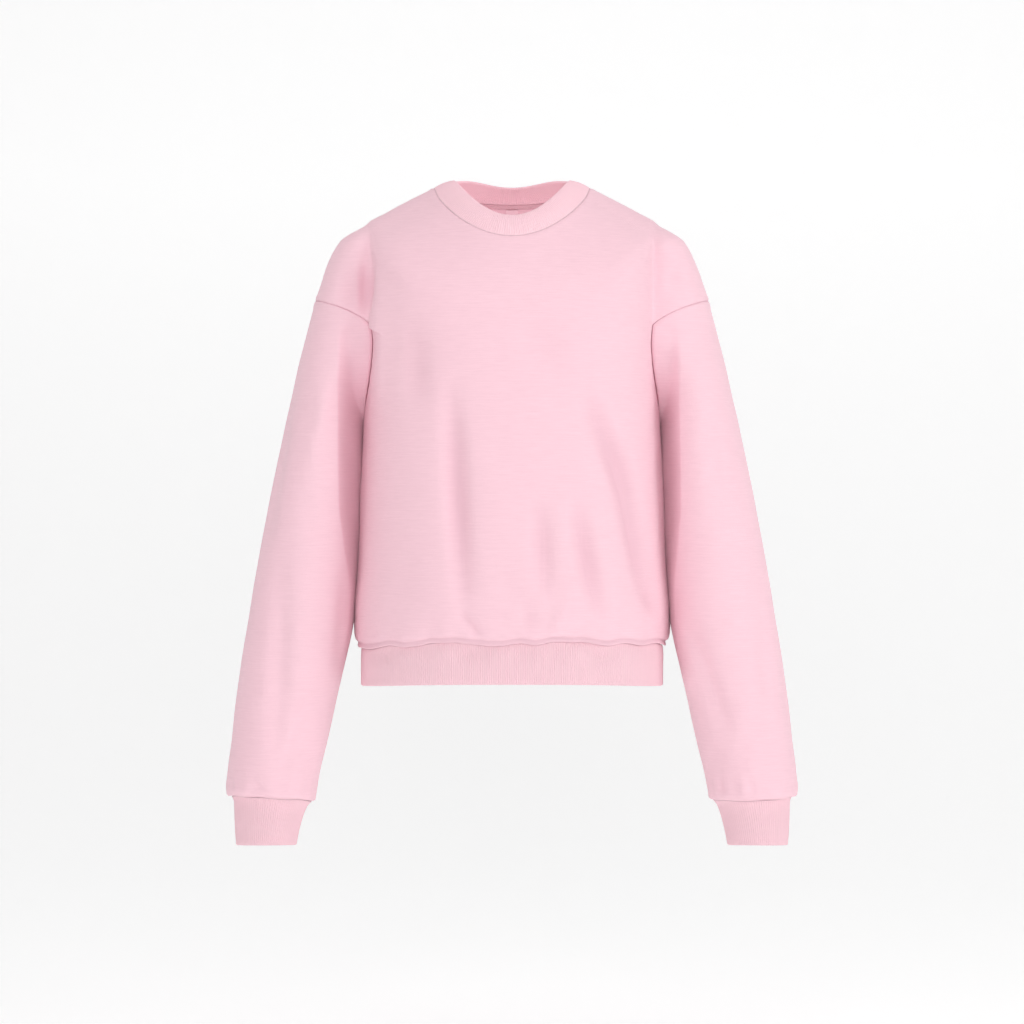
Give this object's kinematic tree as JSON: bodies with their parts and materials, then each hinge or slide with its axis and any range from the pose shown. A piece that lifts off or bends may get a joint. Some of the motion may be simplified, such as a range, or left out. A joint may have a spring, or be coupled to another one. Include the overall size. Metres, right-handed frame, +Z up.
{
  "type": "crewneck sweatshirt",
  "caption": "Long-sleeved crewneck sweatshirt in brushed fleece with dropped shoulders, ribbed neckband, cuffs and hem band, filled out as when worn.",
  "frame": {"origin": "on the middle line, at the level of the neck points of the shoulders and under the neckband's widest part, where the wearer's shoulders hold the garment up", "axes": "+Z up, the front faces -Y, and the wearer's left sleeve lies along +X"},
  "size_m": [0.625, 0.2397, 0.7325],
  "materials": {
    "fleece": "matt brushed-back cotton jersey, pale pink",
    "rib": "fine 1 by 1 rib knit, pale pink",
    "tape": "narrow herringbone tape, pink",
    "label": "plain woven satin, pale pink, blank"
  },
  "bodies": {
    "root": {"front_panel": "fleece", "back_panel": "fleece", "sleeve_left": "fleece", "cuff_left": "rib", "sleeve_right": "fleece", "cuff_right": "rib", "neckband": "rib", "hem_band": "rib", "neck_tape": "tape", "neck_label": "label"}
  },
  "joints": []
}
